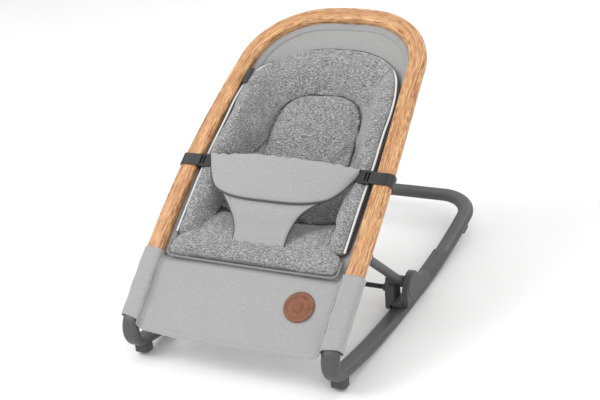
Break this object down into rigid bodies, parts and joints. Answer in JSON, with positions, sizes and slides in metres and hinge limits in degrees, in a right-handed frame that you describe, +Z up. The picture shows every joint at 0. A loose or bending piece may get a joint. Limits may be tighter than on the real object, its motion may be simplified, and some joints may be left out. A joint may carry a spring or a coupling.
{
  "type": "baby bouncer seat",
  "caption": "Baby bouncer seat: a bent wood arch carries a padded fabric seat with a belly band, hinged on a looped metal rocker base with struts and hub buttons.",
  "frame": {"origin": "on the floor, midway between the two side rails and midway between the front hooks and the rear crossbar", "axes": "+X to the seat's left side as the child sits (to the right in a front view), +Y from the foot end to the rear crossbar, +Z up"},
  "size_m": [0.4386, 0.7832, 0.5016],
  "materials": {
    "graphite_tube": "satin",
    "rubber": "matte",
    "graphite_plastic": "fine grain",
    "dark_plastic": "matte",
    "steel": "satin",
    "oak": "clear satin lacquer over bent oak",
    "black_rod": "satin",
    "light_cloth": "smooth plain weave",
    "heather_cloth": "soft melange knit",
    "webbing": "woven webbing",
    "black_plastic": "matte",
    "brown_leather": "smooth"
  },
  "bodies": {
    "base": {"base_tube": "graphite_tube", "front_pad_left": "rubber", "front_pad_right": "rubber", "rear_pad_left": "rubber", "rear_pad_right": "rubber", "hub_housing_left": "graphite_plastic", "hub_housing_right": "graphite_plastic", "hub_screws": "steel", "button_springs": "steel", "hook_end_left": "dark_plastic", "hook_end_right": "dark_plastic", "pivot_pins": "steel"},
    "seat": {"arch_frame": "oak", "arch_socket_left": "dark_plastic", "arch_socket_right": "dark_plastic", "strut_bracket_left": "dark_plastic", "strut_bracket_right": "dark_plastic", "bracket_pins": "steel", "sling": "light_cloth", "skirt": "light_cloth", "seat_pad": "heather_cloth", "back_pad": "heather_cloth", "headrest_pad": "heather_cloth", "head_bolster": "heather_cloth", "side_bolster_left": "heather_cloth", "side_bolster_right": "heather_cloth", "belly_band": "light_cloth", "crotch_strap": "light_cloth", "strap_loop_left": "webbing", "strap_loop_right": "webbing", "buckle_left": "black_plastic", "buckle_right": "black_plastic", "badge": "brown_leather", "side_tag": "webbing"},
    "strut": {"strut_tube_left": "graphite_tube", "strut_tube_right": "graphite_tube", "strut_head_left": "dark_plastic", "strut_head_right": "dark_plastic", "strut_foot_left": "dark_plastic", "strut_foot_right": "dark_plastic"},
    "shoe": {"rail_shoe_left": "graphite_plastic", "rail_shoe_right": "graphite_plastic", "shoe_pins": "steel", "cross_rod": "black_rod"},
    "hub_button_left": {"hub_button_left": "graphite_plastic"},
    "hub_button_right": {"hub_button_right": "graphite_plastic"},
    "tongue_left": {"tongue_left": "black_plastic"},
    "tongue_right": {"tongue_right": "black_plastic"}
  },
  "joints": [
    {"name": "seat_fold", "type": "hinge", "parent": "base", "child": "seat", "pos_m": [0, -0.35598, 0.1004], "axis": [-1, 0, 0], "range_deg": [0, 28]},
    {"name": "strut_swing", "type": "hinge", "parent": "seat", "child": "strut", "pos_m": [0, -0.21232, 0.18554], "axis": [1, 0, 0], "range_deg": [0, 55]},
    {"name": "shoe_level", "type": "hinge", "parent": "strut", "child": "shoe", "pos_m": [0, -0.06198, 0.066], "axis": [-1, 0, 0], "range_deg": [0, 27]},
    {"name": "hub_button_left_press", "type": "slide", "parent": "base", "child": "hub_button_left", "axis": [1, 0, 0], "range_m": [0, 0.003], "stiffness_N_per_m": 1500, "springref_m": -0.002},
    {"name": "hub_button_right_press", "type": "slide", "parent": "base", "child": "hub_button_right", "axis": [-1, 0, 0], "range_m": [0, 0.003], "stiffness_N_per_m": 1500, "springref_m": -0.002},
    {"name": "tongue_left_release", "type": "slide", "parent": "seat", "child": "tongue_left", "axis": [1, 0, 0], "range_m": [0, 0.012]},
    {"name": "tongue_right_release", "type": "slide", "parent": "seat", "child": "tongue_right", "axis": [-1, 0, 0], "range_m": [0, 0.012]}
  ],
  "couplings": [
    {"joint": "strut_swing", "follows": "seat_fold", "ratio": 1.935},
    {"joint": "shoe_level", "follows": "seat_fold", "ratio": 0.935}
  ]
}
